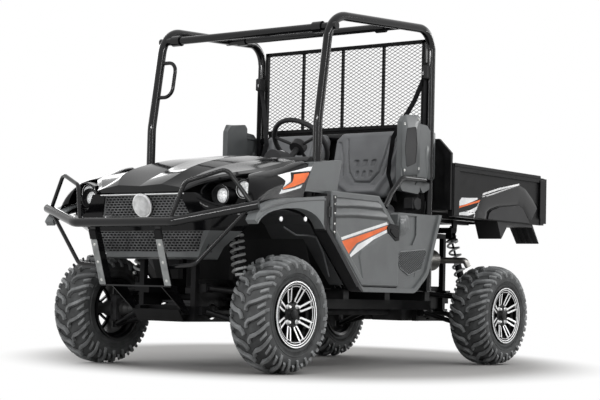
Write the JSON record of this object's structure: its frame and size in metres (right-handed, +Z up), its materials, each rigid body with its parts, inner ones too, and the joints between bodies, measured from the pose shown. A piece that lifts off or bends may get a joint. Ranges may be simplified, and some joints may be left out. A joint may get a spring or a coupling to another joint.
{
  "type": "side by side utility vehicle",
  "caption": "Side by side utility vehicle with roll cage, half doors, sprung A-arm axles, brush guard, mesh rear screen and a tilting cargo bed.",
  "frame": {"origin": "on the ground, at the centre of the vehicle's footprint, midway between the axles", "axes": "+X to the front, +Y to the vehicle's left, +Z up"},
  "size_m": [3.252, 1.509, 2.0027],
  "materials": {
    "tyre": "matt",
    "wheel_alloy": "gloss black with machined faces",
    "black_steel": "satin",
    "spring_coat": "satin",
    "cast_parts": "satin",
    "rubber_boots": "matt",
    "gloss_tube": "gloss",
    "matte_plastic": "matt",
    "grey_plastic": "satin",
    "gloss_panel": "gloss",
    "seat_vinyl": "grained",
    "lens": "clear",
    "steel": "brushed"
  },
  "bodies": {
    "root": {"suspension_arms": "black_steel", "shocks": "spring_coat", "rear_knuckles": "cast_parts", "half_shafts": "rubber_boots", "gearcases": "cast_parts", "chassis_frame": "black_steel", "front_tower": "black_steel", "rear_tower": "black_steel", "cage_hoops": "gloss_tube", "cage_bars": "gloss_tube", "rear_screen": "black_steel", "cab_tub": "matte_plastic", "seat_base": "matte_plastic", "seat_cushions": "seat_vinyl", "seat_backs": "seat_vinyl", "dashboard": "matte_plastic", "shoulder_guards": "grey_plastic", "hip_bars": "gloss_tube", "sill_trims": "grey_plastic", "side_panels": "grey_plastic", "front_fenders": "grey_plastic", "wheel_liners": "matte_plastic", "fender_shoulders": "gloss_panel", "cowl_sides": "grey_plastic", "front_fascia": "gloss_panel", "grilles": "matte_plastic", "headlamps": "lens", "brush_guard": "gloss_tube", "skid_plate": "black_steel", "engine": "cast_parts", "exhaust": "steel", "hitch_receiver": "black_steel"},
    "hood_lid": {"hood": "gloss_panel"},
    "left_door": {"door_left": "grey_plastic"},
    "right_door": {"door_right": "grey_plastic"},
    "steering": {"steering_wheel": "matte_plastic"},
    "rack": {"tie_rods": "black_steel"},
    "left_upright": {"knuckle_left": "cast_parts"},
    "right_upright": {"knuckle_right": "cast_parts"},
    "wheel_front_left": {"tyre_front_left": "tyre", "rim_front_left": "wheel_alloy"},
    "wheel_front_right": {"tyre_front_right": "tyre", "rim_front_right": "wheel_alloy"},
    "wheel_rear_left": {"tyre_rear_left": "tyre", "rim_rear_left": "wheel_alloy"},
    "wheel_rear_right": {"tyre_rear_right": "tyre", "rim_rear_right": "wheel_alloy"},
    "bed": {"bed_floor": "black_steel", "bed_walls": "black_steel", "mudguards": "matte_plastic"},
    "gate": {"tailgate": "black_steel"}
  },
  "joints": [
    {"name": "steering_turn", "type": "hinge", "parent": "root", "child": "steering", "pos_m": [0.431, 0.25, 1.255], "axis": [-0.7431, 0, 0.6691], "range_deg": [-270, 270]},
    {"name": "left_steer", "type": "hinge", "parent": "root", "child": "left_upright", "pos_m": [1.075, 0.52, 0.306], "axis": [0, 0, 1], "range_deg": [-28, 28]},
    {"name": "right_steer", "type": "hinge", "parent": "root", "child": "right_upright", "pos_m": [1.075, -0.52, 0.306], "axis": [0, 0, 1], "range_deg": [-28, 28]},
    {"name": "rack_slide", "type": "slide", "parent": "root", "child": "rack", "axis": [0, 1, 0], "range_m": [-0.04461, 0.04461]},
    {"name": "front_left_spin", "type": "hinge", "parent": "left_upright", "child": "wheel_front_left", "pos_m": [1.075, 0.6225, 0.306], "axis": [0, 1, 0], "continuous": true},
    {"name": "front_right_spin", "type": "hinge", "parent": "right_upright", "child": "wheel_front_right", "pos_m": [1.075, -0.6225, 0.306], "axis": [0, 1, 0], "continuous": true},
    {"name": "rear_left_spin", "type": "hinge", "parent": "root", "child": "wheel_rear_left", "pos_m": [-1.075, 0.6225, 0.306], "axis": [0, 1, 0], "continuous": true},
    {"name": "rear_right_spin", "type": "hinge", "parent": "root", "child": "wheel_rear_right", "pos_m": [-1.075, -0.6225, 0.306], "axis": [0, 1, 0], "continuous": true},
    {"name": "left_door_swing", "type": "hinge", "parent": "root", "child": "left_door", "pos_m": [0.8, 0.739, 0.845], "axis": [0, 0, -1], "range_deg": [0, 70]},
    {"name": "right_door_swing", "type": "hinge", "parent": "root", "child": "right_door", "pos_m": [0.8, -0.739, 0.845], "axis": [0, 0, 1], "range_deg": [0, 70]},
    {"name": "hood_lift", "type": "hinge", "parent": "root", "child": "hood_lid", "pos_m": [0.812, 0, 1.132], "axis": [0, -1, 0], "range_deg": [0, 50]},
    {"name": "bed_tilt", "type": "hinge", "parent": "root", "child": "bed", "pos_m": [-1.335, 0, 0.86], "axis": [0, -1, 0], "range_deg": [0, 42]},
    {"name": "tailgate_drop", "type": "hinge", "parent": "bed", "child": "gate", "pos_m": [-1.582, 0, 0.886], "axis": [0, -1, 0], "range_deg": [0, 90]}
  ],
  "couplings": [
    {"joint": "left_steer", "follows": "steering_turn", "ratio": 0.1037},
    {"joint": "right_steer", "follows": "steering_turn", "ratio": 0.1037},
    {"joint": "rack_slide", "follows": "steering_turn", "m_per_rad": -0.0094644}
  ]
}
